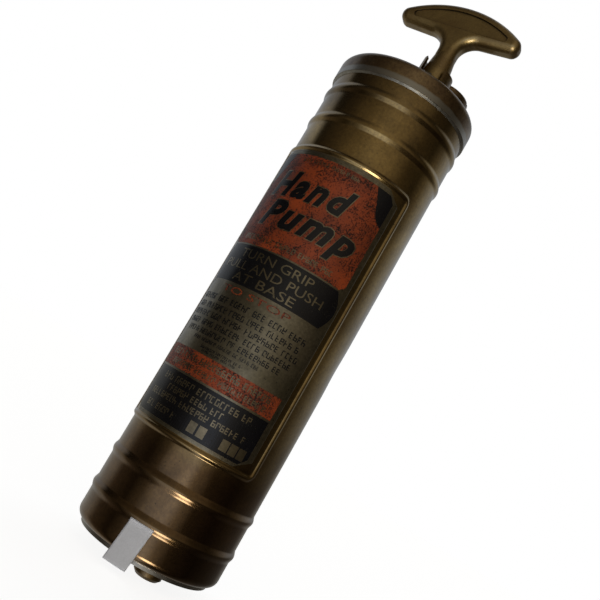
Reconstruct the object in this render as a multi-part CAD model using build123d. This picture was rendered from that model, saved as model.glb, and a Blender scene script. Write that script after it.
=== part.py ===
from build123d import *
import os
from math import cos, sin, radians, sqrt

# Hand-pumped fire extinguisher of soldered sheet brass, one quart.
# Millimetres. +Z runs up the body axis, the label faces -Y, and z = 0 is the plane of the bottom rim.

# Shell: a plain tube with rolled beads and a pressed panel for the label
shell_radius = 38.1
shell_wall = 0.9
shell_top = 264.0
curl_radius = 4.5
curl_centre_z = 6.0
lower_beads = (18.6, 37.0)
upper_bead_drops = (35.2, 17.4)
bead_chord = 6.5
bead_rise = 0.9

# Pressed panel and label plate
panel_bottom = 54.0
panel_top_drop = 52.5
panel_half_angle = 66.0
panel_inner_angle = 60.9
panel_corner = 6.0
panel_base_rise = 0.5
ridge_rise = 1.2
ridge_width = 2.4
label_thickness = 0.4
label_gap = 1.5
label_chamfer = 5.0

# Top cap, soldered over the shell
cap_wall = 1.2
cap_clearance = 0.1
cap_overlap = 7.5
cap_rise = 5.2
cap_shoulder = 4.5
seam_height = 0.9
seam_reach = 0.9

# Bottom cap, a cup soldered inside the curled edge of the shell
lip_overlap = 0.8
lip_wall = 1.0
floor_underside = 8.0
floor_thickness = 1.0
floor_corner = 2.5

# Pump, on its own axis in front of the body axis
pump_x = 12.0
pump_y = -12.0
barrel_outer = 13.0
barrel_wall = 1.4
barrel_bottom = 29.0
gasket_thickness = 1.0
thread_clearance = 0.05
running_clearance = 0.05
overcut = 1.0

# Pump foot with both valves
foot_socket_wall = 1.6
foot_bottom = 10.0
foot_rim_top = 35.0
spigot_radius = 5.6
spigot_bottom = 0.5
outlet_bore = 3.6
outlet_seat_bore = 2.0
outlet_ball_radius = 3.0
outlet_seat_z = 20.0
inlet_offset = 7.9
inlet_bore = 3.2
inlet_seat_bore = 1.8
inlet_ball_radius = 2.4
inlet_seat_z = 15.0
inlet_port_z = 12.4
inlet_port_radius = 1.5
inlet_lift = 1.5
retainer_thickness = 2.0
retainer_bore = 1.8
strainer_radius = 4.0
strainer_length = 3.0
strainer_wall = 0.6
strainer_hole = 0.5
strainer_hole_pitch = 1.2
strainer_hole_rows = 3
strainer_rise = 2.0
pad_root = 2.0
pad_reach = 1.0

# Nozzle under the bottom
nozzle_radius = 7.2
nozzle_tip = -6.0
nozzle_flange_radius = 10.5
nozzle_flange_bottom = 3.6
nozzle_orifice = 1.3
nozzle_throat = 2.2
nozzle_throat_depth = 2.0
nozzle_ledge = -0.5
tip_chamfer = 1.5
spring_wire = 0.5
spring_mean_radius = 2.3
spring_turns = 6
spring_seat = 0.1

# Pump head, gland and rod
head_wall = 1.2
head_drop = 16.0
head_grip = 6.0
head_web = 3.0
neck_radius = 9.4
neck_rise = 1.6
box_radius = 7.4
rod_radius = 4.75
packing_height = 5.0
packing_rings = 3
packing_gap = 0.05
follower_height = 2.5
nut_flange_radius = 10.8
nut_flange_height = 2.1
ear_radius = 9.6
ear_crown_radius = 9.4
ear_shoulder_height = 8.1
ear_height = 13.1
ear_slot_half = 6.2
rod_slack = 0.2
groove_depth = 1.4
stem_clearance = 0.3

# Piston: a leather cup between a body and a nut; the rod swivels in the body
piston_clearance = 0.5
piston_bottom = 31.0
cup_bottom = 36.0
cup_plate_z = 41.5
piston_disc_z = 43.0
piston_disc_top = 46.0
piston_top = 57.0
hub_radius = 7.6
swivel_wall = 2.0
swivel_head_radius = 6.5
swivel_head_height = 3.0
swivel_floor = 49.0
cup_lip = 1.3
washer_height = 2.0
cup_nut_height = 3.5
cup_nut_wall = 1.2

# T handle
stem_radius = 7.2
stem_foot_height = 7.8
stem_height = 16.8
stem_top_radius = 5.6
neck_width = 10.8
neck_length = 12.4
neck_overlap = 2.0
grip_height = 19.4
grip_arc = 58.0
grip_slope = 0.055
grip_end_radius = 4.5
grip_fillet = 9.0
grip_thickness = 11.0
grip_edge_round = 4.2
pocket_margin = 4.6
pocket_depth = 0.7
pocket_corner = 2.0
pocket_height = 20.0
stub_radius = 3.2
stub_length = 20.0
pin_radius = 1.5
pin_length = 16.4
pin_edge = 0.3

# Filler opening
filler_x = 12.4
filler_y = 14.0
filler_bore = 6.8
filler_neck_radius = 9.0
filler_neck_depth = 2.0
filler_neck_rise = 10.8
filler_flange_radius = 12.0
filler_flange_height = 2.0
filler_cap_radius = 14.0
filler_cap_rise = 16.8
filler_cap_round = 1.6
filler_cap_gap = 0.4
filler_slot_width = 2.4
filler_slot_depth = 1.8

# Sizes that follow from those above
shell_inner = shell_radius - shell_wall
bead_heights = lower_beads + tuple(shell_top - drop for drop in upper_bead_drops)
panel_top = shell_top - panel_top_drop
lip_radius = shell_radius - curl_radius + lip_overlap
cap_inner = shell_radius + cap_clearance
cap_radius = cap_inner + cap_wall
cap_skirt_bottom = shell_top - cap_overlap
cap_top = shell_top + cap_rise
cap_plate_bottom = cap_top - cap_wall
floor_top = floor_underside + floor_thickness
barrel_inner = barrel_outer - barrel_wall
barrel_top = cap_plate_bottom - head_drop
chamber_floor = barrel_bottom - gasket_thickness
panel_radius = shell_radius + panel_base_rise
ridge_radius = shell_radius + ridge_rise
panel_half_width = ridge_radius * sin(radians(panel_half_angle))
panel_inner_half = ridge_radius * sin(radians(panel_inner_angle))
foot_radius = barrel_outer + foot_socket_wall
head_radius = barrel_outer + head_wall
head_bottom = barrel_top - head_grip
piston_radius = barrel_inner - piston_clearance
outlet_ball_z = outlet_seat_z - sqrt(outlet_ball_radius ** 2 - outlet_seat_bore ** 2)
inlet_ball_z = inlet_seat_z + sqrt(inlet_ball_radius ** 2 - inlet_seat_bore ** 2)
rod_bore = rod_radius + running_clearance
box_bottom = barrel_top + gasket_thickness + head_web
neck_top = cap_top + neck_rise
follower_bottom = box_bottom + packing_height
sleeve_bottom = follower_bottom + follower_height
ear_floor = neck_top + nut_flange_height
stem_bottom = ear_floor + stem_clearance
pin_z = stem_bottom + pin_radius + pin_edge
ear_shoulder_z = ear_floor + ear_shoulder_height
ear_top = ear_floor + ear_height
neck_z = stem_bottom + stem_height
grip_underside = neck_z + neck_length
grip_peak = grip_underside + grip_height
filler_neck_bottom = cap_plate_bottom - filler_neck_depth
filler_neck_top = cap_top + filler_neck_rise
filler_cap_top = cap_top + filler_cap_rise
pump_axis = Pos(pump_x, pump_y, 0)
filler_axis = Pos(filler_x, filler_y, 0)


def disc(radius, low, high):
    """Solid cylinder on the Z axis between two heights."""
    return Pos(0, 0, low) * extrude(Circle(radius), high - low)


def ring(outer, inner, low, high):
    """Flat ring or tube on the Z axis."""
    return Pos(0, 0, low) * extrude(Circle(outer) - Circle(inner), high - low)


def turned(points):
    """Turn a closed outline of (radius, height) points about the Z axis."""
    outline = Plane.XZ * make_face(Polyline(*points, close=True))
    return revolve(outline, Axis.Z)


def edges_at(solid, radius, height):
    """Circular edges of a solid at one radius and height."""
    chosen = [e for e in solid.edges().filter_by(GeomType.CIRCLE)
              if abs(e.radius - radius) < 0.01 and abs(e.center().Z - height) < 0.01]
    return chosen


def rounded_panel(half_width, low, high, corner):
    """Rounded rectangle seen from the front, pushed through to the body axis."""
    flat = RectangleRounded(2 * half_width, high - low, corner)
    return Pos(0, 0, (low + high) / 2) * extrude(Plane.XZ * flat, 2 * shell_radius)


def bead(height):
    """Rolled bead: a circular segment turned about the body axis."""
    arc = ThreePointArc((shell_radius, height - bead_chord / 2), (shell_radius + bead_rise, height),
                        (shell_radius, height + bead_chord / 2))
    inner = shell_radius - shell_wall / 2
    foot = Polyline((shell_radius, height + bead_chord / 2), (inner, height + bead_chord / 2),
                    (inner, height - bead_chord / 2), (shell_radius, height - bead_chord / 2))
    return revolve(Plane.XZ * make_face([arc, foot]), Axis.Z)


def body_shell():
    curl_centre = shell_radius - curl_radius
    inner_curl = curl_radius - shell_wall
    tube = ring(shell_radius, shell_inner, curl_centre_z, shell_top)
    quarter = Pos(curl_centre, curl_centre_z) * (Circle(curl_radius) - Circle(inner_curl))
    corner = Pos(curl_centre + curl_radius, curl_centre_z - curl_radius)
    keep = corner * Rectangle(2 * curl_radius, 2 * curl_radius)
    curl = revolve(Plane.XZ * (quarter & keep), Axis.Z)
    curl -= disc(lip_radius, curl_centre_z - 2 * curl_radius, curl_centre_z + 2 * curl_radius)
    shell = tube + curl
    for height in bead_heights:
        shell += bead(height)
    root = shell_radius - shell_wall / 2
    wrap = rounded_panel(panel_half_width, panel_bottom, panel_top, panel_corner)
    inside = rounded_panel(panel_inner_half, panel_bottom + ridge_width, panel_top - ridge_width,
                           panel_corner - ridge_width)
    ridge = (ring(ridge_radius, root, panel_bottom, panel_top) & wrap) - inside
    base = ring(panel_radius, root, panel_bottom, panel_top) & inside
    return shell + ridge + base


def label_plate():
    half_width = panel_inner_half - label_gap
    low = panel_bottom + ridge_width + label_gap
    high = panel_top - ridge_width - label_gap
    flat = chamfer(Rectangle(2 * half_width, high - low).vertices(), label_chamfer)
    through = Pos(0, 0, (low + high) / 2) * extrude(Plane.XZ * flat, 2 * shell_radius)
    return ring(panel_radius + label_thickness, panel_radius, low, high) & through


def top_cap():
    cup = disc(cap_radius, cap_skirt_bottom, cap_top)
    cup = fillet(edges_at(cup, cap_radius, cap_top), cap_shoulder)
    hollow = disc(cap_inner, cap_skirt_bottom, cap_plate_bottom)
    hollow = fillet(edges_at(hollow, cap_inner, cap_plate_bottom), cap_shoulder - cap_wall)
    cup -= hollow
    low, high = cap_plate_bottom - overcut, cap_top + overcut
    cup -= pump_axis * disc(neck_radius + thread_clearance, low, high)
    cup -= filler_axis * disc(filler_neck_radius + thread_clearance, low, high)
    return cup


def cap_solder_seam():
    low = cap_skirt_bottom - seam_height
    return turned([(shell_radius, low), (shell_radius + seam_reach, cap_skirt_bottom),
                   (shell_radius, cap_skirt_bottom)])


def bottom_cap():
    cup = disc(lip_radius, 0, floor_top)
    cup = fillet(edges_at(cup, lip_radius, floor_top), floor_corner)
    recess = disc(lip_radius - lip_wall, 0, floor_underside)
    recess = fillet(edges_at(recess, lip_radius - lip_wall, floor_underside), floor_corner - lip_wall)
    cup -= recess
    hole = disc(spigot_radius + thread_clearance, floor_underside - overcut, floor_top + overcut)
    return cup - pump_axis * hole


def pump_foot():
    foot = disc(foot_radius, foot_bottom, foot_rim_top)
    foot -= disc(barrel_outer + thread_clearance, chamber_floor, foot_rim_top)
    foot += disc(spigot_radius, spigot_bottom, foot_bottom)
    foot -= disc(outlet_bore, spigot_bottom, outlet_seat_z)
    foot -= disc(outlet_seat_bore, outlet_seat_z - overcut, chamber_floor)
    chamber = Pos(0, inlet_offset, 0) * disc(inlet_bore, inlet_seat_z, chamber_floor)
    seat = Pos(0, inlet_offset, 0) * disc(inlet_seat_bore, inlet_port_z, inlet_seat_z)
    port = Plane((0, inlet_offset, inlet_port_z), z_dir=(0, 1, 0)) * Cylinder(
        inlet_port_radius, foot_radius, align=(Align.CENTER, Align.CENTER, Align.MIN))
    pad = Plane((0, foot_radius - pad_root, inlet_port_z + strainer_rise), z_dir=(0, 1, 0)) * Cylinder(
        strainer_radius - strainer_wall, pad_root + pad_reach, align=(Align.CENTER, Align.CENTER, Align.MIN))
    return pump_axis * (foot + pad - chamber - seat - port)


def inlet_strainer():
    place = Plane((0, foot_radius + pad_reach, inlet_port_z + strainer_rise), z_dir=(0, 1, 0))
    low_align = (Align.CENTER, Align.CENTER, Align.MIN)
    cup = Cylinder(strainer_radius, strainer_length, align=low_align)
    cup -= Cylinder(strainer_radius - strainer_wall, strainer_length - strainer_wall, align=low_align)
    for spot in HexLocations(strainer_hole_pitch, strainer_hole_rows, strainer_hole_rows):
        cup -= spot * Cylinder(strainer_hole, 3 * strainer_length)
    return pump_axis * (place * cup)


def foot_gasket():
    return pump_axis * ring(foot_radius, spigot_radius + thread_clearance, floor_top, foot_bottom)


def inlet_ball():
    return pump_axis * Pos(0, inlet_offset, inlet_ball_z) * Sphere(inlet_ball_radius)


def inlet_ball_retainer():
    low = chamber_floor - retainer_thickness
    return pump_axis * Pos(0, inlet_offset, 0) * ring(inlet_bore, retainer_bore, low, chamber_floor)


def outlet_ball():
    return pump_axis * Pos(0, 0, outlet_ball_z) * Sphere(outlet_ball_radius)


def outlet_spring():
    low = nozzle_ledge + spring_wire
    high = outlet_ball_z - outlet_ball_radius + spring_seat
    pitch = (high - low) / spring_turns
    coil = Helix(pitch, high - low, spring_mean_radius)
    section = Plane(coil @ 0, z_dir=coil % 0) * Circle(spring_wire / 2)
    return pump_axis * Pos(0, 0, low) * sweep(section, path=coil, is_frenet=True)


def nozzle():
    flange = disc(nozzle_flange_radius, nozzle_flange_bottom, floor_underside - gasket_thickness)
    tip = disc(nozzle_radius, nozzle_tip, nozzle_flange_bottom + overcut)
    tip = chamfer(edges_at(tip, nozzle_radius, nozzle_tip), tip_chamfer)
    body = flange + tip
    body -= disc(spigot_radius + thread_clearance, spigot_bottom, floor_underside)
    body -= disc(outlet_bore, nozzle_ledge, spigot_bottom + overcut)
    body -= disc(nozzle_orifice, nozzle_tip - overcut, nozzle_ledge)
    body -= disc(nozzle_throat, nozzle_tip - overcut, nozzle_tip + nozzle_throat_depth)
    return pump_axis * body


def nozzle_gasket():
    low = floor_underside - gasket_thickness
    return pump_axis * ring(nozzle_flange_radius, spigot_radius + thread_clearance, low, floor_underside)


def pump_barrel():
    return pump_axis * ring(barrel_outer, barrel_inner, barrel_bottom, barrel_top)


def lower_barrel_gasket():
    return pump_axis * ring(barrel_outer, barrel_inner, chamber_floor, barrel_bottom)


def upper_barrel_gasket():
    return pump_axis * ring(barrel_outer, barrel_inner, barrel_top, barrel_top + gasket_thickness)


def pump_head():
    head = disc(head_radius, head_bottom, cap_plate_bottom) + disc(neck_radius, cap_plate_bottom, neck_top)
    head -= disc(barrel_outer + thread_clearance, head_bottom, barrel_top + gasket_thickness)
    head -= disc(box_radius, box_bottom, neck_top)
    return pump_axis * (head - disc(rod_bore, head_bottom, neck_top))


def gland_packing():
    """Three separate rings of packing in one group."""
    ring_height = packing_height / packing_rings
    rings = []
    for i in range(packing_rings):
        low = box_bottom + i * ring_height
        rings.append(pump_axis * ring(box_radius, rod_bore, low, low + ring_height - packing_gap))
    return Compound(rings)


def gland_follower():
    return pump_axis * ring(box_radius - thread_clearance, rod_bore, follower_bottom, sleeve_bottom)


def gland_nut():
    """Threaded sleeve with a flange, a collar left and right of the handle's stem, and a lug on the left."""
    nut = disc(box_radius - thread_clearance, sleeve_bottom, neck_top)
    nut += disc(nut_flange_radius, neck_top, ear_floor)
    nut += turned([(0, ear_floor), (ear_radius, ear_floor), (ear_radius, ear_shoulder_z),
                   (ear_crown_radius, ear_top), (0, ear_top)])
    nut -= disc(rod_radius + rod_slack, sleeve_bottom, ear_top)
    nut -= disc(stem_radius + stem_clearance, ear_floor, ear_top)
    nut -= disc(ear_radius - groove_depth + stem_clearance, ear_floor, pin_z + pin_radius + stem_clearance)
    slot = Pos(0, 0, (ear_floor + ear_top) / 2) * Box(2 * ear_slot_half, 4 * ear_radius, ear_height)
    right = Pos(2 * ear_radius, 0, (ear_shoulder_z + ear_top) / 2) * Box(
        4 * ear_radius, 4 * ear_radius, ear_height - ear_shoulder_height)
    return pump_axis * (nut - slot - right)


def piston_rod():
    head_low = swivel_floor + running_clearance
    rod = disc(swivel_head_radius, head_low, head_low + swivel_head_height)
    rod += disc(rod_radius, head_low, stem_bottom)
    rod += disc(stub_radius, stem_bottom, stem_bottom + stub_length)
    pin_hole = Pos(0, 0, pin_z) * Rot(90, 0, 0) * Cylinder(pin_radius, 4 * rod_radius)
    return pump_axis * (rod - pin_hole)


def swivel_bore():
    return swivel_head_radius + 2 * running_clearance


def piston_body():
    body = disc(hub_radius, piston_bottom, piston_disc_z)
    body += disc(piston_radius, piston_disc_z, piston_disc_top)
    body += disc(swivel_bore() + swivel_wall, piston_disc_top, piston_top)
    body -= disc(swivel_bore(), swivel_floor, piston_top)
    return pump_axis * body


def swivel_nut():
    low = swivel_floor + swivel_head_height + 2 * running_clearance
    return pump_axis * ring(swivel_bore(), rod_bore, low, piston_top)


def piston_cup():
    outer = barrel_inner - running_clearance
    cup = ring(outer, hub_radius, cup_plate_z, piston_disc_z)
    cup += ring(outer, outer - cup_lip, cup_bottom, cup_plate_z)
    return pump_axis * cup


def cup_washer():
    outer = barrel_inner - running_clearance - cup_lip - running_clearance
    return pump_axis * ring(outer, hub_radius, cup_plate_z - washer_height, cup_plate_z)


def cup_nut():
    high = cup_plate_z - washer_height
    hexagon = RegularPolygon(hub_radius + cup_nut_wall, 6, major_radius=False) - Circle(hub_radius)
    return pump_axis * Pos(0, 0, high - cup_nut_height) * extrude(hexagon, cup_nut_height)


def grip_outline():
    """Outline of the T seen from the front, centred on the pump axis."""
    crown = Pos(0, grip_peak - grip_arc) * Circle(grip_arc)
    side_z = grip_underside + grip_slope * grip_arc
    top_z = grip_peak + grip_height
    above = make_face(Polyline((0, grip_underside), (-grip_arc, side_z), (-grip_arc, top_z),
                               (grip_arc, top_z), (grip_arc, side_z), close=True))
    bar = crown & above
    tips = [bar.vertices().sort_by(Axis.X)[0], bar.vertices().sort_by(Axis.X)[-1]]
    bar = fillet(tips, grip_end_radius)
    neck = Pos(0, neck_z + neck_length / 2) * Rectangle(neck_width, neck_length + 2 * neck_overlap)
    outline = bar + neck
    inner = [v for v in outline.vertices() if abs(abs(v.X) - neck_width / 2) < 0.01 and v.Y > neck_z]
    return fillet(inner, grip_fillet)


def t_handle():
    outline = grip_outline()
    grip = extrude(Plane.XZ * outline, grip_thickness / 2, both=True)
    faces = grip.faces().sort_by(Axis.Y)
    rims = [e for face in (faces[0], faces[-1]) for e in face.edges()
            if e.center().Z > neck_z]
    grip = fillet(rims, grip_edge_round)
    stem_top = neck_z + neck_overlap
    stem = turned([(0, stem_bottom), (stem_radius, stem_bottom),
                   (stem_radius, stem_bottom + stem_foot_height),
                   (stem_top_radius, stem_top), (0, stem_top)])
    pocket_face = Pos(0, grip_peak - grip_arc) * Circle(grip_arc - pocket_margin)
    pocket_middle = grip_underside + pocket_margin + pocket_height / 2
    pocket_keep = Pos(0, pocket_middle) * Rectangle(2 * grip_arc, pocket_height)
    pocket_face = pocket_face & pocket_keep
    pocket_face = fillet(pocket_face.vertices(), pocket_corner)
    pocket = extrude(Plane.XZ * pocket_face, pocket_depth)
    handle = grip + stem
    handle -= Pos(0, -grip_thickness / 2 + pocket_depth, 0) * pocket
    handle -= Pos(0, grip_thickness / 2, 0) * pocket
    handle -= disc(stub_radius, stem_bottom, stem_bottom + stub_length)
    handle -= Pos(0, 0, pin_z) * Rot(90, 0, 0) * Cylinder(pin_radius, 4 * stem_radius)
    return pump_axis * handle


def handle_pin():
    pin = Rot(90, 0, 0) * Cylinder(pin_radius, pin_length)
    return pump_axis * Pos(0, 0, pin_z) * pin


def filler_neck():
    neck = disc(filler_neck_radius, filler_neck_bottom, filler_neck_top)
    neck += disc(filler_flange_radius, cap_top, cap_top + filler_flange_height)
    return filler_axis * (neck - disc(filler_bore, filler_neck_bottom, filler_neck_top))


def filler_gasket():
    return filler_axis * ring(filler_neck_radius, filler_bore, filler_neck_top,
                              filler_neck_top + gasket_thickness)


def filler_cap():
    low = cap_top + filler_flange_height + filler_cap_gap
    cap = disc(filler_cap_radius, low, filler_cap_top)
    cap = fillet(edges_at(cap, filler_cap_radius, filler_cap_top), filler_cap_round)
    cap -= disc(filler_neck_radius + thread_clearance, low, filler_neck_top + gasket_thickness)
    cap -= Pos(0, 0, filler_cap_top) * Box(2 * filler_cap_radius, filler_slot_width, 2 * filler_slot_depth)
    return filler_axis * cap


nodes = [
    body_shell, top_cap, cap_solder_seam, bottom_cap, label_plate,
    pump_foot, foot_gasket, inlet_strainer, inlet_ball, inlet_ball_retainer, outlet_ball, outlet_spring,
    nozzle, nozzle_gasket, pump_barrel, lower_barrel_gasket, upper_barrel_gasket, pump_head,
    gland_packing, gland_follower, gland_nut, piston_rod, piston_body, swivel_nut, piston_cup,
    cup_washer, cup_nut, t_handle, handle_pin, filler_neck, filler_gasket, filler_cap,
]

os.makedirs("parts", exist_ok=True)
for make in nodes:
    export_step(make(), "parts/" + make.__name__ + ".step")
    print(make.__name__)
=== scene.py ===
import math
import random

import bmesh
import bpy
from mathutils import Matrix, Vector, noise


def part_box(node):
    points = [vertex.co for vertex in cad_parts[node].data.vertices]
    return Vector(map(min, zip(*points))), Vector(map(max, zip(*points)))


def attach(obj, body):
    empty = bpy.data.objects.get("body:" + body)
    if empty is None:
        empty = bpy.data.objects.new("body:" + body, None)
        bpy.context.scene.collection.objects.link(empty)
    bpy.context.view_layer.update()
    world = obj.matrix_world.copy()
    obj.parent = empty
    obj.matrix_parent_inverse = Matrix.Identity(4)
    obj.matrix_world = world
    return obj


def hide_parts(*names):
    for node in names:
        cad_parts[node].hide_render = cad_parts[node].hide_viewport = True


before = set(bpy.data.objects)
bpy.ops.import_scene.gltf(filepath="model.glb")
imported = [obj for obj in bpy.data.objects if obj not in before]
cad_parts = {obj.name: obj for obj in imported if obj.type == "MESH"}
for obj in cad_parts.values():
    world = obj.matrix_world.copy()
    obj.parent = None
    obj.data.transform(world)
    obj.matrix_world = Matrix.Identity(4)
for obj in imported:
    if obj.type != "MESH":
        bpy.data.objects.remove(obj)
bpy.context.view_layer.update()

mm = 0.001
print("frame loaded:", len(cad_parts), "nodes")


def hexColour(code):
    # sRGB hex to linear
    parts = [int(code[i:i + 2], 16) / 255 for i in (1, 3, 5)]
    return tuple(c / 12.92 if c <= 0.04045 else ((c + 0.055) / 1.055) ** 2.4 for c in parts) + (1.0,)


def addNode(tree, kind, settings=None, inputs=None):
    # inputs: socket name or index -> value or an output socket to link
    node = tree.nodes.new(kind)
    for key, value in (settings or {}).items():
        setattr(node, key, value)
    for key, value in (inputs or {}).items():
        if isinstance(value, bpy.types.NodeSocket):
            tree.links.new(value, node.inputs[key])
        else:
            node.inputs[key].default_value = value
    return node


def newMaterial(name):
    material = bpy.data.materials.new(name)
    material.use_nodes = True
    tree = material.node_tree
    tree.nodes.clear()
    output = addNode(tree, "ShaderNodeOutputMaterial")
    shader = addNode(tree, "ShaderNodeBsdfPrincipled")
    tree.links.new(shader.outputs[0], output.inputs[0])
    return material, tree, shader


def setMaterial(piece, material):
    piece.data.materials.clear()
    piece.data.materials.append(material)


def makePiece(name, bm, material, smooth=True):
    mesh = bpy.data.meshes.new(name)
    bmesh.ops.recalc_face_normals(bm, faces=bm.faces[:])
    bm.to_mesh(mesh)
    bm.free()
    piece = bpy.data.objects.new(name, mesh)
    bpy.context.scene.collection.objects.link(piece)
    for face in mesh.polygons:
        face.use_smooth = smooth
    setMaterial(piece, material)
    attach(piece, "root")
    return piece


# sizes are in millimetres, and some come from the frame
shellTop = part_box("body_shell")[1][2] / mm
labelRadius = -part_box("label_plate")[0][1] / mm

# the shell, one sheet of brass with rolled beads and a pressed panel
shell = {
    "radius": 38.1,
    "wall": 0.9,
    "curl": 4.5,
    "curlZ": 6.0,
    "curlTurn": 78.0,
    "top": shellTop,
    "beads": (18.6, 37.0, 228.8, 246.6),
    "beadWidth": 6.5,
    "beadRise": 0.9,
    "panelLow": 54.0,
    "panelHigh": 211.5,
    "ridgeArc": 43.2,
    "panelCorner": 3.2,
    "ridgeWidth": 4.0,
    "ridgeRise": 1.2,
    "floorRise": 0.5,
    "wave": 0.05,
    "waveAround": 2.2,
    "waveMm": 22.0,
    # spacing of the mesh: open wall along and up, curl, beads and the ridge's slopes
    "arcStep": 2.0,
    "heightStep": 3.0,
    "curlStep": 0.6,
    "beadStep": 0.4,
    "beadReach": 3.5,
    "ridgeStep": 0.34,
    "ridgeReach": 2.2,
    "ridgeInset": 1.7,
    # arc, height, radius and depth of the knocks that the tube has had
    "dents": ((7.0, 46.0, 5.0, 0.22), (15.0, 30.0, 6.0, 0.20), (2.0, 26.0, 4.0, 0.15), (22.0, 44.0, 4.0, 0.12),
              (-24.0, 30.0, 5.0, 0.2), (40.0, 28.0, 6.0, 0.15), (70.0, 120.0, 9.0, 0.3), (-80.0, 180.0, 10.0, 0.3),
              (92.0, 60.0, 9.0, 0.35), (-60.0, 46.0, 7.0, 0.25), (4.0, 221.0, 6.0, 0.10), (90.0, 236.0, 8.0, 0.25)),
}


# Old sheet brass: a warm metal gone olive brown, brighter where hands and edges rub it.
# The eye gets streaks round the tube from rolling, blotches of tarnish and small dark pits.
def agedBrass(name, look):
    material, tree, shader = newMaterial(name)
    place = addNode(tree, "ShaderNodeTexCoord").outputs["Object"]
    blotch = addNode(tree, "ShaderNodeTexNoise", {}, {
        "Vector": place, "Scale": 1 / (look["blotchMm"] * mm), "Detail": 6.0, "Roughness": 0.62, "Distortion": 0.4})
    blotchRamp = addNode(tree, "ShaderNodeMapRange", {}, {
        0: blotch.outputs[0], 1: look["blotchFrom"], 2: look["blotchTo"], 3: 0.0, 4: 1.0})
    base = addNode(tree, "ShaderNodeMix", {"data_type": "RGBA"}, {
        0: blotchRamp.outputs[0], 6: hexColour(look["metal"]), 7: hexColour(look["tarnish"])})
    fine = addNode(tree, "ShaderNodeTexNoise", {}, {
        "Vector": place, "Scale": 1 / (look["grainMm"] * mm), "Detail": 4.0, "Roughness": 0.7})
    fineRamp = addNode(tree, "ShaderNodeMapRange", {}, {
        0: fine.outputs[0], 1: look["grainRange"][0], 2: look["grainRange"][1], 3: 0.0, 4: look["grain"]})
    mottled = addNode(tree, "ShaderNodeMix", {"data_type": "RGBA"}, {
        0: fineRamp.outputs[0], 6: base.outputs[2], 7: hexColour(look["brown"])})
    pits = addNode(tree, "ShaderNodeTexVoronoi", {}, {"Vector": place, "Scale": 1 / (look["pitMm"] * mm)})
    pitMask = addNode(tree, "ShaderNodeMapRange", {}, {
        0: pits.outputs[0], 1: 0.0, 2: look["pitReach"], 3: 1.0, 4: 0.0})
    pitPatch = addNode(tree, "ShaderNodeMath", {"operation": "MULTIPLY"}, {
        0: pitMask.outputs[0], 1: blotchRamp.outputs[0]})
    colour = addNode(tree, "ShaderNodeMix", {"data_type": "RGBA"}, {
        0: pitPatch.outputs[0], 6: mottled.outputs[2], 7: hexColour(look["pitColour"])})
    for untintedZ, heightTintedZ, tint in look.get("heightTints", ()):
        # the brass is tinted by height, darker away from the middle: pinkish brown near the base, duller near the top
        split = addNode(tree, "ShaderNodeSeparateXYZ", {}, {0: place})
        ragged = addNode(tree, "ShaderNodeMath", {"operation": "MULTIPLY_ADD"}, {
            0: blotch.outputs[0], 1: look["heightTintRaggedMm"] * mm, 2: split.outputs[2]})
        heightTint = addNode(tree, "ShaderNodeMapRange", {}, {0: ragged.outputs[0], 1: untintedZ * mm, 2: heightTintedZ * mm})
        colour = addNode(tree, "ShaderNodeMix", {"data_type": "RGBA", "blend_type": "MULTIPLY"}, {
            0: heightTint.outputs[0], 6: colour.outputs[2], 7: hexColour(tint)})
    if "wearRadius" in look:
        # crests that stand out of the tube are rubbed bright in patches
        flat = addNode(tree, "ShaderNodeVectorMath", {"operation": "MULTIPLY"}, {0: place, 1: (1.0, 1.0, 0.0)})
        length = addNode(tree, "ShaderNodeVectorMath", {"operation": "LENGTH"}, {0: flat.outputs[0]})
        wearFrom, wearTo = look["wearRadius"]
        crest = addNode(tree, "ShaderNodeMapRange", {}, {
            0: length.outputs["Value"], 1: wearFrom * mm, 2: wearTo * mm, 3: 0.0, 4: look["wear"]})
        patch = addNode(tree, "ShaderNodeMapRange", {}, {0: fine.outputs[0], 1: 0.3, 2: 0.55, 3: 0.25, 4: 1.0})
        rub = addNode(tree, "ShaderNodeMath", {"operation": "MULTIPLY"}, {0: crest.outputs[0], 1: patch.outputs[0]})
        colour = addNode(tree, "ShaderNodeMix", {"data_type": "RGBA"}, {
            0: rub.outputs[0], 6: colour.outputs[2], 7: hexColour(look["worn"])})
    if "solderZ" in look:
        # the cap's edge is tinned: grey solder with a ragged upper edge
        split = addNode(tree, "ShaderNodeSeparateXYZ", {}, {0: place})
        wobble = addNode(tree, "ShaderNodeTexNoise", {}, {
            "Vector": place, "Scale": 1 / (look["solderPatchMm"] * mm), "Detail": 4.0})
        edge = addNode(tree, "ShaderNodeMath", {"operation": "MULTIPLY_ADD"}, {
            0: wobble.outputs[0], 1: look["solderRaggedMm"] * mm, 2: split.outputs[2]})
        tinnedZ, bareZ = look["solderZ"]
        tin = addNode(tree, "ShaderNodeMapRange", {}, {
            0: edge.outputs[0], 1: tinnedZ * mm, 2: bareZ * mm, 3: 0.9, 4: 0.0})
        colour = addNode(tree, "ShaderNodeMix", {"data_type": "RGBA"}, {
            0: tin.outputs[0], 6: colour.outputs[2], 7: hexColour(look["solderColour"])})
    if "grimeAndShadeMm" in look:
        # painted shade: corners that little light reaches (ambient occlusion) are darkened, also standing for old
        # polish dried dark in them
        corner = addNode(tree, "ShaderNodeAmbientOcclusion", {"only_local": True, "samples": 8}, {
            "Distance": look["grimeAndShadeMm"] * mm})
        grimeAndShade = addNode(tree, "ShaderNodeMapRange", {}, {0: corner.outputs["AO"], 1: 0.6, 2: 0.93, 3: 0.9, 4: 0.0})
        colour = addNode(tree, "ShaderNodeMix", {"data_type": "RGBA"}, {
            0: grimeAndShade.outputs[0], 6: colour.outputs[2], 7: hexColour(look["grimeAndShadeColour"])})
    shader.inputs["Metallic"].default_value = 1.0
    # a thin old lacquer gives pale, uncoloured highlights over the brass
    shader.inputs["Coat Weight"].default_value = look["lacquer"]
    shader.inputs["Coat Roughness"].default_value = look["lacquerRoughness"]
    tree.links.new(colour.outputs[2], shader.inputs["Base Color"])
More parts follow.
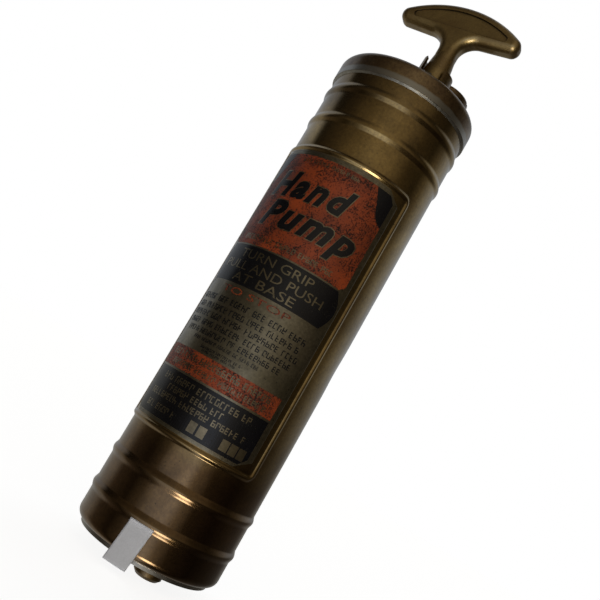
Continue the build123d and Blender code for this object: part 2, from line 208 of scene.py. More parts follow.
    # rolling and polishing marks: long round the tube, fine along it
    streakPlace = addNode(tree, "ShaderNodeMapping", {}, {"Vector": place, "Scale": look["streakScale"]})
    streak = addNode(tree, "ShaderNodeTexNoise", {}, {
        "Vector": streakPlace.outputs[0], "Scale": 1 / (look["streakMm"] * mm), "Detail": 3.0, "Roughness": 0.6})
    rough = addNode(tree, "ShaderNodeMapRange", {}, {
        0: blotch.outputs[0], 1: 0.3, 2: 0.7, 3: look["roughness"][0], 4: look["roughness"][1]})
    roughMix = addNode(tree, "ShaderNodeMath", {"operation": "MULTIPLY_ADD"}, {
        0: streak.outputs[0], 1: look["streakRough"], 2: rough.outputs[0]})
    tree.links.new(roughMix.outputs[0], shader.inputs["Roughness"])
    wave = addNode(tree, "ShaderNodeTexNoise", {}, {
        "Vector": place, "Scale": 1 / (look["waveMm"] * mm), "Detail": 1.0})
    waveBump = addNode(tree, "ShaderNodeBump", {}, {
        "Strength": 1.0, "Distance": look["waveDeep"] * mm, "Height": wave.outputs[0]})
    streakBump = addNode(tree, "ShaderNodeBump", {}, {
        "Strength": look["streakBump"], "Distance": look["streakDeepMm"] * mm, "Height": streak.outputs[0],
        "Normal": waveBump.outputs[0]})
    pitBump = addNode(tree, "ShaderNodeBump", {"invert": True}, {
        "Strength": 0.6, "Distance": look["pitDeepMm"] * mm, "Height": pitPatch.outputs[0],
        "Normal": streakBump.outputs[0]})
    tree.links.new(pitBump.outputs[0], shader.inputs["Normal"])
    return material


brassLook = {
    "metal": "#ab9368", "tarnish": "#866f48", "brown": "#50391f", "worn": "#bfa673",
    "blotchMm": 26.0, "blotchFrom": 0.36, "blotchTo": 0.66, "grainMm": 1.4, "grain": 0.45, "pitMm": 3.2,
    "grainRange": (0.35, 0.7), "pitReach": 0.16, "pitDeepMm": 0.04, "pitColour": "#0c0805",
    "streakScale": (0.12, 0.12, 1.0), "streakMm": 0.35, "streakRough": 0.06, "streakBump": 0.3, "streakDeepMm": 0.02,
    "roughness": (0.10, 0.21), "waveMm": 30.0, "waveDeep": 0.10, "wear": 0.14, "heightTintRaggedMm": 18.0,
    "lacquer": 0.8, "lacquerRoughness": 0.12, "grimeAndShadeColour": "#140d06",
    "solderColour": "#a5a299", "solderPatchMm": 6.0, "solderRaggedMm": 1.6,
}
# each brass below gets painted corner shade, partly dried polish, reaching the given millimetres
shellBrass = agedBrass("tarnishedRolledBrass", dict(
    brassLook, metal="#c4a565", tarnish="#957c49", wearRadius=(38.65, 39.1), grimeAndShadeMm=2.0,
    heightTints=((72.0, 58.0, "#b9acb0"), (238.0, 252.0, "#dcdad8"))))
capBrass = agedBrass("tarnishedSpunBrass", dict(
    brassLook, metal="#9a815a", tarnish="#6a5032", brown="#402a15", grain=0.6, blotchMm=14.0,
    roughness=(0.26, 0.42), solderZ=(259.9, 260.9), grimeAndShadeMm=2.5))
handleBrass = agedBrass("wornCastBrass", dict(
    brassLook, metal="#b39a63", tarnish="#93794a", brown="#6b5330", grainMm=0.9, blotchMm=12.0,
    streakScale=(1.0, 1.0, 1.0), streakMm=0.6, roughness=(0.30, 0.44), waveMm=9.0, waveDeep=0.12, grimeAndShadeMm=2.2))
turnedBrass = agedBrass("turnedBrass", dict(
    brassLook, metal="#9c8354", tarnish="#6b5231", brown="#3a2814", blotchMm=8.0, roughness=(0.28, 0.46),
    waveMm=12.0, waveDeep=0.03, grimeAndShadeMm=2.5))


# Solder: grey tin-lead, dull and slightly lumpy where it was wiped.
def wipedSolder():
    material, tree, shader = newMaterial("wipedSolder")
    place = addNode(tree, "ShaderNodeTexCoord").outputs["Object"]
    cloud = addNode(tree, "ShaderNodeTexNoise", {}, {"Vector": place, "Scale": 1 / (3 * mm), "Detail": 5.0})
    colour = addNode(tree, "ShaderNodeMix", {"data_type": "RGBA"}, {
        0: cloud.outputs[0], 6: hexColour("#c2bfb4"), 7: hexColour("#6d675a")})
    tree.links.new(colour.outputs[2], shader.inputs["Base Color"])
    shader.inputs["Metallic"].default_value = 1.0
    shader.inputs["Roughness"].default_value = 0.36
    bump = addNode(tree, "ShaderNodeBump", {}, {"Strength": 0.5, "Distance": 0.05 * mm, "Height": cloud.outputs[0]})
    tree.links.new(bump.outputs[0], shader.inputs["Normal"])
    return material


# Steel, leather, plaited packing: the pieces inside, plain but each with its own grain.
def plainMaterial(name, look):
    material, tree, shader = newMaterial(name)
    place = addNode(tree, "ShaderNodeTexCoord").outputs["Object"]
    grain = addNode(tree, "ShaderNodeTexNoise", {}, {
        "Vector": place, "Scale": 1 / (look["grainMm"] * mm), "Detail": 5.0, "Roughness": 0.6})
    colour = addNode(tree, "ShaderNodeMix", {"data_type": "RGBA"}, {
        0: grain.outputs[0], 6: hexColour(look["light"]), 7: hexColour(look["dark"])})
    tree.links.new(colour.outputs[2], shader.inputs["Base Color"])
    shader.inputs["Metallic"].default_value = look["metallic"]
    rough = addNode(tree, "ShaderNodeMapRange", {}, {
        0: grain.outputs[0], 3: look["roughness"] - 0.08, 4: look["roughness"] + 0.08})
    tree.links.new(rough.outputs[0], shader.inputs["Roughness"])
    bump = addNode(tree, "ShaderNodeBump", {}, {
        "Strength": 0.6, "Distance": look["deepMm"] * mm, "Height": grain.outputs[0]})
    tree.links.new(bump.outputs[0], shader.inputs["Normal"])
    return material


solder = wipedSolder()
steel = plainMaterial("groundSteel", {
    "grainMm": 0.6, "light": "#8e8f90", "dark": "#5d5e60", "metallic": 1.0, "roughness": 0.3, "deepMm": 0.005})
leather = plainMaterial("oiledLeather", {
    "grainMm": 1.1, "light": "#4d2f1a", "dark": "#24140b", "metallic": 0.0, "roughness": 0.62, "deepMm": 0.1})
packing = plainMaterial("plaitedPacking", {
    "grainMm": 0.5, "light": "#5a5346", "dark": "#2b2720", "metallic": 0.0, "roughness": 0.8, "deepMm": 0.15})


# Etched nameplate: enamel baked into sheet brass, crazed and chipped down to dark metal.
def bakedEnamel(name, look):
    material, tree, shader = newMaterial(name)
    place = addNode(tree, "ShaderNodeTexCoord").outputs["Object"]
    cloud = addNode(tree, "ShaderNodeTexNoise", {}, {
        "Vector": place, "Scale": 1 / (18 * mm), "Detail": 5.0, "Roughness": 0.6, "Distortion": 0.5})
    shade = addNode(tree, "ShaderNodeMapRange", {}, {0: cloud.outputs[0], 1: 0.36, 2: 0.64})
    base = addNode(tree, "ShaderNodeMix", {"data_type": "RGBA"}, {
        0: shade.outputs[0], 6: hexColour(look["light"]), 7: hexColour(look["dark"])})
    speck = addNode(tree, "ShaderNodeTexNoise", {}, {
        "Vector": place, "Scale": 1 / (look["speckMm"] * mm), "Detail": 5.0, "Roughness": 0.75})
    patch = addNode(tree, "ShaderNodeTexNoise", {}, {
        "Vector": place, "Scale": 1 / (9 * mm), "Detail": 3.0, "Roughness": 0.6})
    worn = addNode(tree, "ShaderNodeMath", {"operation": "MULTIPLY_ADD"}, {
        0: patch.outputs[0], 1: 0.35, 2: speck.outputs[0]})
    chip = addNode(tree, "ShaderNodeMapRange", {}, {0: worn.outputs[0], 1: look["chipFrom"], 2: look["chipTo"]})
    chipped = addNode(tree, "ShaderNodeMix", {"data_type": "RGBA"}, {
        0: chip.outputs[0], 6: base.outputs[2], 7: hexColour(look["under"])})
    tree.links.new(chipped.outputs[2], shader.inputs["Base Color"])
    metal = addNode(tree, "ShaderNodeMath", {"operation": "MULTIPLY"}, {0: chip.outputs[0], 1: look["underMetal"]})
    tree.links.new(metal.outputs[0], shader.inputs["Metallic"])
    rough = addNode(tree, "ShaderNodeMapRange", {}, {
        0: speck.outputs[0], 1: 0.3, 2: 0.7, 3: look["roughness"][0], 4: look["roughness"][1]})
    tree.links.new(rough.outputs[0], shader.inputs["Roughness"])
    bump = addNode(tree, "ShaderNodeBump", {"invert": True}, {
        "Strength": 0.5, "Distance": 0.05 * mm, "Height": chip.outputs[0]})
    tree.links.new(bump.outputs[0], shader.inputs["Normal"])
    return material


redEnamel = bakedEnamel("redEnamel", {
    "light": "#a8481f", "dark": "#7c3517", "under": "#18110e", "speckMm": 0.8, "chipFrom": 0.67, "chipTo": 0.75,
    "underMetal": 0.3, "roughness": (0.30, 0.52)})
blackEnamel = bakedEnamel("blackEnamel", {
    "light": "#101014", "dark": "#0a090c", "under": "#4a4436", "speckMm": 0.8, "chipFrom": 0.80, "chipTo": 0.90,
    "underMetal": 0.9, "roughness": (0.14, 0.30)})
plateBrass = agedBrass("etchedPlateBrass", dict(
    brassLook, metal="#9d937a", tarnish="#6f674f", brown="#403a2b", blotchMm=16.0, grain=0.5,
    roughness=(0.28, 0.42), waveMm=24.0, waveDeep=0.08))
letterBrass = agedBrass("letterBrass", dict(
    brassLook, metal="#9c8f72", tarnish="#756b53", brown="#4b4233", blotchMm=7.0, grain=0.4, grainMm=0.8,
    roughness=(0.25, 0.38), waveMm=24.0, waveDeep=0.02))


# Paper: white label stock, a little soiled, with soft fibres.
def labelPaper():
    material, tree, shader = newMaterial("labelPaper")
    place = addNode(tree, "ShaderNodeTexCoord").outputs["Object"]
    fibre = addNode(tree, "ShaderNodeTexNoise", {}, {"Vector": place, "Scale": 1 / (0.8 * mm), "Detail": 6.0})
    soil = addNode(tree, "ShaderNodeTexNoise", {}, {"Vector": place, "Scale": 1 / (7 * mm), "Detail": 3.0})
    mixed = addNode(tree, "ShaderNodeMath", {"operation": "MULTIPLY"}, {0: fibre.outputs[0], 1: soil.outputs[0]})
    colour = addNode(tree, "ShaderNodeMix", {"data_type": "RGBA"}, {
        0: mixed.outputs[0], 6: hexColour("#eceef4"), 7: hexColour("#c6c8ce")})
    tree.links.new(colour.outputs[2], shader.inputs["Base Color"])
    shader.inputs["Roughness"].default_value = 0.75
    bump = addNode(tree, "ShaderNodeBump", {}, {"Strength": 0.4, "Distance": 0.03 * mm, "Height": fibre.outputs[0]})
    tree.links.new(bump.outputs[0], shader.inputs["Normal"])
    return material


paper = labelPaper()
print("materials made")

# the CAD nodes keep their shape and get their finish
nodeFinish = {
    "top_cap": capBrass, "cap_solder_seam": solder, "bottom_cap": capBrass, "label_plate": plateBrass,
    "t_handle": handleBrass, "gland_nut": turnedBrass, "handle_pin": steel, "filler_cap": capBrass,
    "filler_neck": turnedBrass, "nozzle": turnedBrass, "piston_rod": turnedBrass,
    "inlet_ball": steel, "outlet_ball": steel, "outlet_spring": turnedBrass,
    "foot_gasket": leather, "nozzle_gasket": leather, "lower_barrel_gasket": leather,
    "upper_barrel_gasket": leather, "filler_gasket": leather, "piston_cup": leather, "gland_packing": packing,
}
for name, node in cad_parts.items():
    setMaterial(node, nodeFinish.get(name, turnedBrass))


def smoothStep(low, high, value):
    t = min(1.0, max(0.0, (value - low) / (high - low)))
    return t * t * (3 - 2 * t)


def roundedBoxDistance(x, z, halfX, halfZ, corner):
    # distance from the outline of a rounded rectangle, negative inside
    dx = abs(x) - (halfX - corner)
    dz = abs(z) - (halfZ - corner)
    outside = math.hypot(max(dx, 0.0), max(dz, 0.0))
    return outside + min(max(dx, dz), 0.0) - corner


def shellRise(x, z):
    rise = 0.0
    for bead in shell["beads"]:
        off = abs(z - bead) / (shell["beadWidth"] / 2)
        if off < 1:
            rise = max(rise, shell["beadRise"] * (0.5 + 0.5 * math.cos(math.pi * off)) ** 0.8)
    middle = (shell["panelLow"] + shell["panelHigh"]) / 2
    halfZ = (shell["panelHigh"] - shell["panelLow"]) / 2 - shell["ridgeWidth"] / 2
    away = roundedBoxDistance(x, z - middle, shell["ridgeArc"], halfZ, shell["panelCorner"])
    half = shell["ridgeWidth"] / 2
    if abs(away) < half:
        ridge = shell["ridgeRise"] * (0.5 + 0.5 * math.cos(math.pi * away / half)) ** 0.7
    else:
        ridge = 0.0
    floor = shell["floorRise"] * (1 - smoothStep(-half, 0.0, away))
    return max(rise, ridge, floor)


def cutAlong(bm, axis, places):
    normal = Vector((1, 0, 0)) if axis == "x" else Vector((0, 0, 1))
    for place in places:
        geometry = bm.verts[:] + bm.edges[:] + bm.faces[:]
        bmesh.ops.bisect_plane(bm, geom=geometry, plane_co=normal * place, plane_no=normal)


def steps(low, high, step):
    count = max(1, round((high - low) / step))
    return [low + (high - low) * i / count for i in range(count + 1)]


def makeShell():
    radius = shell["radius"]
    halfTurn = math.pi * radius
    curlArc = shell["curl"] * math.radians(shell["curlTurn"])
    low, high = shell["curlZ"] - curlArc, shell["top"]
    bm = bmesh.new()
    bmesh.ops.create_grid(bm, x_segments=1, y_segments=1, size=0.5)
    bmesh.ops.rotate(bm, verts=bm.verts, matrix=Matrix.Rotation(math.pi / 2, 3, "X"))
    bmesh.ops.scale(bm, verts=bm.verts, vec=(2 * halfTurn, 1, high - low))
    bmesh.ops.translate(bm, verts=bm.verts, vec=(0, 0, (high + low) / 2))
    reach, fine = shell["ridgeReach"], shell["ridgeStep"]
    cutX = set(steps(-halfTurn, halfTurn, shell["arcStep"])[1:-1])
    for arc in (-shell["ridgeArc"], shell["ridgeArc"]):
        cutX |= set(steps(arc - reach, arc + reach, fine))
    cutZ = set(steps(low, high, shell["heightStep"])[1:-1]) | set(steps(low, shell["curlZ"], shell["curlStep"]))
    for bead in shell["beads"]:
        cutZ |= set(steps(bead - shell["beadReach"], bead + shell["beadReach"], shell["beadStep"]))
    for edge in (shell["panelLow"] + shell["ridgeInset"], shell["panelHigh"] - shell["ridgeInset"]):
        cutZ |= set(steps(edge - reach, edge + reach, fine))
    cutAlong(bm, "x", sorted(cutX))
    cutAlong(bm, "z", sorted(cutZ))
    for vert in bm.verts:
        x, z = vert.co.x, vert.co.z
        angle = x / radius
        around = Vector((math.sin(angle), math.cos(angle), 0)) * shell["waveAround"]
        rise = shellRise(x, z) + shell["wave"] * noise.noise(around + Vector((0, 0, z / shell["waveMm"])))
        for arc, dentZ, size, depth in shell["dents"]:
            rise -= depth * math.exp(-((x - arc) ** 2 + (z - dentZ) ** 2) / size ** 2)
        out, height = radius, z
        if z < shell["curlZ"]:
            turn = (z - shell["curlZ"]) / shell["curl"]
            out = radius - shell["curl"] * (1 - math.cos(turn))
            height = shell["curlZ"] + shell["curl"] * math.sin(turn)
        out += rise
        vert.co = Vector((out * math.sin(angle), -out * math.cos(angle), height)) * mm
    bmesh.ops.remove_doubles(bm, verts=bm.verts, dist=0.02 * mm)
    piece = makePiece("bodyShell", bm, shellBrass)
    wall = piece.modifiers.new("wall", "SOLIDIFY")
    wall.thickness = shell["wall"] * mm
    wall.offset = -1
    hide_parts("body_shell")


makeShell()
print("shell made")


# the nameplate: fields of enamel, border lines, words and rows of small marks
plate = {
    "halfWidth": 37.9,
    "low": 57.9,
    "high": 206.8,
    "corner": 3.8,
    "bandLow": 131.3,
    "bandHigh": 151.6,
    "shoulderLow": 3.6,
    "shoulderHigh": 3.2,
    "waist": 34.2,
    "bulge": 38.3,
    "bulgePoints": 12,
    "fieldThick": 0.05,
    "cornerThick": 0.07,
    "edgeThick": 0.075,
    "letterThick": 0.10,
    "margin": 1.7,
    "bendStep": 1.3,
}
# enamel fields: low and high edge, distance from the plate's outline
fields = {
    "redTitleField": (152.4, 205.0, plate["margin"], redEnamel),
    "blackBand": (131.5, 151.6, 0.35, blackEnamel),
    "redLowerBand": (83.6, 94.6, plate["margin"], redEnamel),
    "blackLowerField": (59.4, 82.6, plate["margin"], blackEnamel),
}
# black lines: distance from the plate's outline, width
borders = {"outerBorder": (0.0, 0.6), "innerBorder": (1.2, 0.3)}


def plateOutline(inset=0.0):
    # right half from the bottom up, then mirrored; the waist swells into a round-ended band
    halfWidth, waist, corner = plate["halfWidth"] - inset, plate["waist"] - inset, plate["corner"]
    low, high = plate["low"] + inset, plate["high"] - inset
    bandLow, bandHigh, swell = plate["bandLow"], plate["bandHigh"], plate["bulge"] - plate["waist"]
    right = [(halfWidth - corner, low), (halfWidth, low + corner), (halfWidth, bandLow - plate["shoulderLow"]),
             (waist, bandLow)]
    for i in range(1, plate["bulgePoints"]):
        t = i / plate["bulgePoints"]
        right.append((waist + swell * math.sin(math.pi * t), bandLow + (bandHigh - bandLow) * t))
    right += [(waist, bandHigh), (halfWidth, bandHigh + plate["shoulderHigh"]), (halfWidth, high - corner),
              (halfWidth - corner, high)]
    return right + [(-x, z) for x, z in reversed(right)]


def flatFace(bm, outline):
    return bm.faces.new([bm.verts.new((x, 0, z)) for x, z in outline])


def wrapOn(bm, thickness):
    # bend a flat drawing (x along the arc, z up) round the body, then give it its thickness
    reach = max(abs(v.co.x) for v in bm.verts)
    cutAlong(bm, "x", steps(-reach, reach, plate["bendStep"])[1:-1])
    for vert in bm.verts:
        angle = vert.co.x / labelRadius
        vert.co = Vector((labelRadius * math.sin(angle), -labelRadius * math.cos(angle), vert.co.z)) * mm
    bm.normal_update()
    for face in bm.faces:
        outward = face.calc_center_median()
        if face.normal.dot(Vector((outward.x, outward.y, 0))) < 0:
            face.normal_flip()
    bm.normal_update()
    raised = bmesh.ops.extrude_face_region(bm, geom=bm.faces[:])
    for vert in [g for g in raised["geom"] if isinstance(g, bmesh.types.BMVert)]:
        flat = Vector((vert.co.x, vert.co.y, 0)).normalized()
        vert.co += flat * thickness * mm


def clipHeight(bm, low, high):
    for height, normal in ((low, (0, 0, -1)), (high, (0, 0, 1))):
        bmesh.ops.bisect_plane(bm, geom=bm.verts[:] + bm.edges[:] + bm.faces[:], plane_co=(0, 0, height),
                               plane_no=normal, clear_outer=True)


def finishDrawing(name, bm, material, thickness):
    wrapOn(bm, thickness)
    piece = makePiece(name, bm, material, smooth=False)


for name, (low, high, inset, material) in fields.items():
    bm = bmesh.new()
    flatFace(bm, plateOutline(inset))
    clipHeight(bm, low, high)
    finishDrawing(name, bm, material, plate["fieldThick"])
for name, (inset, width) in borders.items():
    bm = bmesh.new()
    face = flatFace(bm, plateOutline(inset))
    bmesh.ops.inset_region(bm, faces=[face], thickness=width, use_boundary=True, use_even_offset=True)
    bmesh.ops.delete(bm, geom=[f for f in bm.faces if len(f.verts) > 4], context="FACES")
    finishDrawing(name, bm, blackEnamel, plate["fieldThick"])


def wordMesh(word, bold, lean, spacing):
    curve = bpy.data.curves.new("word", "FONT")
    curve.body = word
    curve.offset = bold
    curve.shear = lean
    curve.space_character = spacing
    curve.resolution_u = 3
    holder = bpy.data.objects.new("word", curve)
    bpy.context.scene.collection.objects.link(holder)
    mesh = bpy.data.meshes.new_from_object(holder.evaluated_get(bpy.context.evaluated_depsgraph_get()))
    bpy.data.objects.remove(holder)
    return mesh


def addWord(bm, word, centreX, lowZ, height, width, bold=0.0, lean=0.0, spacing=1.0, slant=0.0):
    mesh = wordMesh(word, bold, lean, spacing)
    part = bmesh.new()
    part.from_mesh(mesh)
    bpy.data.meshes.remove(mesh)
    xs = [v.co.x for v in part.verts]
    ys = [v.co.y for v in part.verts]
    scaleZ = height / (max(ys) - min(ys))
    scaleX = width / (max(xs) - min(xs))
    middle = (max(xs) + min(xs)) / 2
    for v in part.verts:
        x = centreX + (v.co.x - middle) * scaleX
        v.co = Vector((x, 0, lowZ + (v.co.y - min(ys)) * scaleZ + slant * (x - centreX)))
    drawn = bpy.data.meshes.new("part")
    part.to_mesh(drawn)
    part.free()
    bm.from_mesh(drawn)
    bpy.data.meshes.remove(drawn)


def addBar(bm, x, z, width, height):
    flatFace(bm, [(x, z), (x + width, z), (x + width, z + height), (x, z + height)])


marks = {"stroke": 0.17, "step": 0.78, "gap": 0.7, "tick": 0.62, "levels": (0.0, 0.42, 0.83), "rise": 0.58}


def addMarks(bm, fromX, toX, lowZ, height, rng):
    # a row of made-up marks the size of small type: a stem with a few short ticks, grouped like words
    stroke = height * marks["stroke"]
    step = height * marks["step"]
    x, left = fromX, rng.randint(3, 9)
    while x + step < toX:
        if left == 0:
            x += step * marks["gap"]
            left = rng.randint(2, 9)
            continue
        addBar(bm, x, lowZ, stroke, height)
        tick = step * marks["tick"] - stroke
        for level in rng.sample(marks["levels"], rng.randint(1, 3)):
            addBar(bm, x + stroke, lowZ + level * height, tick, stroke)
        if rng.random() < 0.5:
            addBar(bm, x + stroke + tick, lowZ + rng.choice(marks["levels"][:2]) * height, stroke,
                   height * marks["rise"])
        x += step
        left -= 1


# curved black corners over the red field
edgeX = plate["halfWidth"] - plate["margin"]
cornerOutline = ((24.6, 205.0), (26.3, 201.5), (28.0, 198.0), (29.3, 194.6), (31.2, 191.3), (33.6, 189.3),
                 (edgeX, 188.5), (edgeX, 201.8), (edgeX - 3.2, 205.0))
# words: centre, low edge, height and width, then for the title its slant
title = {"bold": 0.036, "lean": 0.3, "spacing": 1.2, "edge": 0.55, "edgeBold": 0.0165,
         "words": (("Hand", -4.0, 181.0, 14.0, 46.0, 0.02), ("Pump", 3.5, 160.5, 18.5, 53.0, 0.03))}
bandWords = (("TURN GRIP", 0.0, 145.2, 4.6, 43.0), ("PULL AND PUSH", 0.0, 139.0, 4.6, 60.0),
             ("AT BASE", 0.0, 132.9, 4.6, 36.0))
heading = (("TO STOP", 0.0, 126.4, 3.4, 40.0),)
# rows of marks: left and right end, low edge, height
brassRows = ((-17, 17, 201.2, 2.0), (-27, 29, 155.0, 2.8), (-29, 34, 89.8, 3.2), (-25, 32, 85.4, 2.6),
             (-24, 30, 77.4, 3.2), (-17, 19, 73.0, 3.0), (-28, 31, 68.6, 3.0), (-26, -2, 62.6, 3.0))
blackRows = ((-34, 34, 120.6, 3.0), (-33, 33, 116.0, 2.9), (-34, 34, 111.6, 2.9), (-33, 33, 107.3, 2.8),
             (-30, 30, 103.2, 2.7), (-20, 20, 100.2, 1.7), (-12, 12, 97.2, 1.3), (-10, 10, 95.6, 1.2))
# blank boxes where a number was stamped: left ends, low edge, width, height
boxes = {"lefts": (4.0, 9.0, 21.0, 25.5, 30.0), "low": 61.4, "width": 3.9, "height": 5.2}


def drawTitle(bm, grow=0.0, bolder=0.0):
    for word, x, lowZ, height, width, slant in title["words"]:
        addWord(bm, word, x, lowZ - grow, height + 2 * grow, width + 2 * grow, title["bold"] + bolder,
                title["lean"], title["spacing"], slant)


def drawWords(bm, words):
    for word, x, lowZ, height, width in words:
        addWord(bm, word, x, lowZ, height, width)


def drawRows(bm, rows, seed):
    rng = random.Random(seed)
    for left, right, lowZ, height in rows:
        addMarks(bm, left, right, lowZ, height, rng)


drawings = {name: bmesh.new() for name in (
    "blackCorners", "titleEdge", "titleWords", "bandWords", "brassMarks", "redHeading", "blackMarks", "numberPlates")}
for side in (-1, 1):
    flatFace(drawings["blackCorners"], [(side * x, z) for x, z in cornerOutline])
drawTitle(drawings["titleEdge"], title["edge"], title["edgeBold"])
drawTitle(drawings["titleWords"])
drawWords(drawings["bandWords"], bandWords)
drawRows(drawings["brassMarks"], brassRows, 4)
drawWords(drawings["redHeading"], heading)
drawRows(drawings["blackMarks"], blackRows, 9)
for x in boxes["lefts"]:
    addBar(drawings["numberPlates"], x, boxes["low"], boxes["width"], boxes["height"])
drawingFinish = {
    "blackCorners": (blackEnamel, plate["cornerThick"]), "titleEdge": (letterBrass, plate["edgeThick"]),
    "redHeading": (redEnamel, plate["letterThick"]), "titleWords": (blackEnamel, plate["letterThick"]),
    "blackMarks": (blackEnamel, plate["letterThick"]),
}
for name, bm in drawings.items():
    finishDrawing(name, bm, *drawingFinish.get(name, (letterBrass, plate["letterThick"])))
print("nameplate made")


# the paper sticker on the base hangs past the rim
sticker = {
    "width": 12.0, "length": 21.0, "top": 17.6, "azimuth": 13.0, "slant": -0.105, "thickness": 0.15,
    "gap": 0.2, "beadFollow": 0.9, "lift": 0.25, "liftFrom": 6.0, "liftTo": -3.0, "clearArc": 200.0,
}


def makeSticker():
    bm = bmesh.new()
    bmesh.ops.create_grid(bm, x_segments=14, y_segments=22, size=0.5)
    bmesh.ops.rotate(bm, verts=bm.verts, matrix=Matrix.Rotation(math.pi / 2, 3, "X"))
    bmesh.ops.scale(bm, verts=bm.verts, vec=(sticker["width"], 1, sticker["length"]))
    radius = shell["radius"] + sticker["gap"]
    for vert in bm.verts:
        z = sticker["top"] - sticker["length"] / 2 + vert.co.z
        x = vert.co.x + sticker["slant"] * (sticker["top"] - z)
        out = radius + shellRise(sticker["clearArc"], z) * sticker["beadFollow"]
        out += sticker["lift"] * smoothStep(sticker["liftFrom"], sticker["liftTo"], z)
        angle = math.radians(sticker["azimuth"]) + x / radius
        vert.co = Vector((out * math.sin(angle), -out * math.cos(angle), z)) * mm
    piece = makePiece("paperSticker", bm, paper)
    thick = piece.modifiers.new("thickness", "SOLIDIFY")
    thick.thickness = sticker["thickness"] * mm


makeSticker()
print("sticker made")

floorLook = {"half": 3.0, "z": -6.2, "colour": "#c8c8c6", "roughness": 0.9, "glow": 0.88}


def makeFloor():
    bm = bmesh.new()
    bmesh.ops.create_grid(bm, x_segments=1, y_segments=1, size=floorLook["half"])
    bmesh.ops.translate(bm, verts=bm.verts, vec=(0, 0, floorLook["z"] * mm))
    mesh = bpy.data.meshes.new("floor")
    bm.to_mesh(mesh)
    bm.free()
    floor = bpy.data.objects.new("floor", mesh)
    bpy.context.scene.collection.objects.link(floor)
    material, _, shader = newMaterial("paleFloor")
    shader.inputs["Base Color"].default_value = hexColour(floorLook["colour"])
    shader.inputs["Roughness"].default_value = floorLook["roughness"]
    shader.inputs["Emission Color"].default_value = (1, 1, 1, 1)
    shader.inputs["Emission Strength"].default_value = floorLook["glow"]
    setMaterial(floor, material)
    floor.visible_glossy = False
    floor.visible_diffuse = False
    floor.visible_shadow = False


makeFloor()

lens = {
    "place": (0.151186, -0.356172, 0.082003),
    "forward": (-0.37591, 0.91278, 0.15977),
    "up": (-0.41122, -0.31882, 0.85396),
    "focal": 45.8,
}


def makeCamera():
    data = bpy.data.cameras.new("camera")
    data.lens = lens["focal"]
    data.sensor_width = 36.0
    camera = bpy.data.objects.new("camera", data)
    bpy.context.scene.collection.objects.link(camera)
    forward = Vector(lens["forward"]).normalized()
    right = forward.cross(Vector(lens["up"])).normalized()
    up = right.cross(forward)
    turn = Matrix((right, up, -forward)).transposed()
    camera.matrix_world = Matrix.Translation(lens["place"]) @ turn.to_4x4()
    data.clip_start = 0.01
    bpy.context.scene.camera = camera


makeCamera()

# The room seen in the metal: pale walls behind the object, a dim room in front with soft daylight in it.
# Each ramp runs once round the horizon, left to right, with the camera's side in the middle.
room = {
    "turn": 67.0,
    "upper": ((0.180, "#969a9f"), (0.215, "#1c1a17"), (0.317, "#413b33"), (0.400, "#696152"), (0.483, "#989080"),
              (0.567, "#847b6b"), (0.650, "#453e33"), (0.733, "#2e2a22"), (0.780, "#575248"), (0.850, "#909395"),
              (1.000, "#969a9f")),
    "lower": ((0.180, "#94938e"), (0.225, "#524b43"), (0.317, "#26221d"), (0.375, "#5a554e"), (0.425, "#c0c4cc"),
              (0.500, "#dfe6f4"), (0.535, "#948f88"), (0.585, "#38322c"), (0.700, "#1d1814"), (0.880, "#4a4641"),
              (1.000, "#94938e")),
    "blend": (-0.10, 0.16),
    "window": (0.42, -0.62, -0.66),
    "windowSize": (0.975, 0.990),
    "windowLight": 7.5,
}


def addRamp(tree, factor, stops):
    ramp = addNode(tree, "ShaderNodeValToRGB", {}, {0: factor})
    elements = ramp.color_ramp.elements
    while len(elements) < len(stops):
        elements.new(0.5)
    for element, (position, code) in zip(elements, stops):
        element.position = position
        element.color = hexColour(code)
    return ramp.outputs[0]


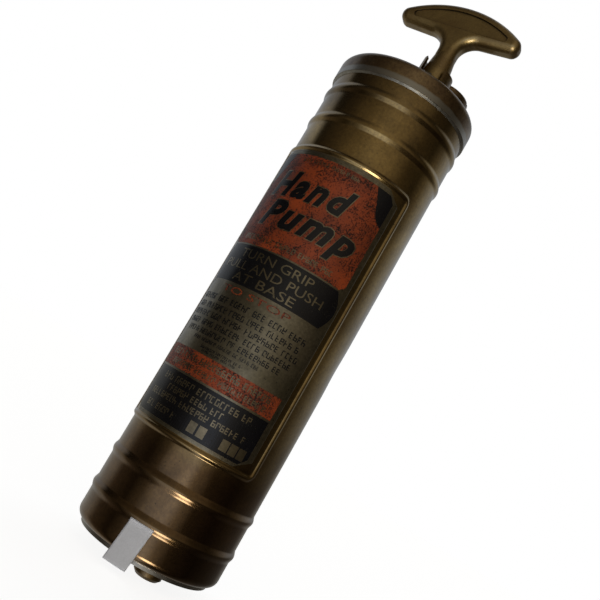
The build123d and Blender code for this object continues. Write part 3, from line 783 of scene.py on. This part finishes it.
def makeRoom():
    world = bpy.data.worlds.new("room")
    bpy.context.scene.world = world
    world.use_nodes = True
    tree = world.node_tree
    tree.nodes.clear()
    way = addNode(tree, "ShaderNodeTexCoord").outputs["Generated"]
    turned = addNode(tree, "ShaderNodeVectorRotate", {"rotation_type": "Z_AXIS"}, {
        "Vector": way, "Angle": math.radians(room["turn"])})
    split = addNode(tree, "ShaderNodeSeparateXYZ", {}, {0: turned.outputs[0]})
    azimuth = addNode(tree, "ShaderNodeMath", {"operation": "ARCTAN2"}, {0: split.outputs[1], 1: split.outputs[0]})
    along = addNode(tree, "ShaderNodeMapRange", {}, {0: azimuth.outputs[0], 1: -math.pi, 2: math.pi})
    height = addNode(tree, "ShaderNodeMapRange", {"interpolation_type": "SMOOTHSTEP"}, {
        0: split.outputs[2], 1: room["blend"][0], 2: room["blend"][1]})
    walls = addNode(tree, "ShaderNodeMix", {"data_type": "RGBA"}, {
        0: height.outputs[0], 6: addRamp(tree, along.outputs[0], room["lower"]),
        7: addRamp(tree, along.outputs[0], room["upper"])})
    facing = addNode(tree, "ShaderNodeVectorMath", {"operation": "DOT_PRODUCT"}, {
        0: way, 1: Vector(room["window"]).normalized()})
    spot = addNode(tree, "ShaderNodeMapRange", {"interpolation_type": "SMOOTHSTEP"}, {
        0: facing.outputs["Value"], 1: room["windowSize"][0], 2: room["windowSize"][1], 3: 0.0,
        4: room["windowLight"]})
    lit = addNode(tree, "ShaderNodeMix", {"data_type": "RGBA", "blend_type": "ADD"}, {
        0: spot.outputs[0], 6: walls.outputs[2], 7: (1.0, 0.95, 0.86, 1.0)})
    lit.clamp_factor = False
    # the backdrop itself is plain white
    seen = addNode(tree, "ShaderNodeLightPath")
    colour = addNode(tree, "ShaderNodeMix", {"data_type": "RGBA"}, {
        0: seen.outputs["Is Camera Ray"], 6: lit.outputs[2], 7: (1.0, 1.0, 1.0, 1.0)})
    background = addNode(tree, "ShaderNodeBackground", {}, {0: colour.outputs[2]})
    output = addNode(tree, "ShaderNodeOutputWorld")
    tree.links.new(background.outputs[0], output.inputs[0])


makeRoom()
bpy.context.scene.view_settings.view_transform = "Standard"
print("stage made")
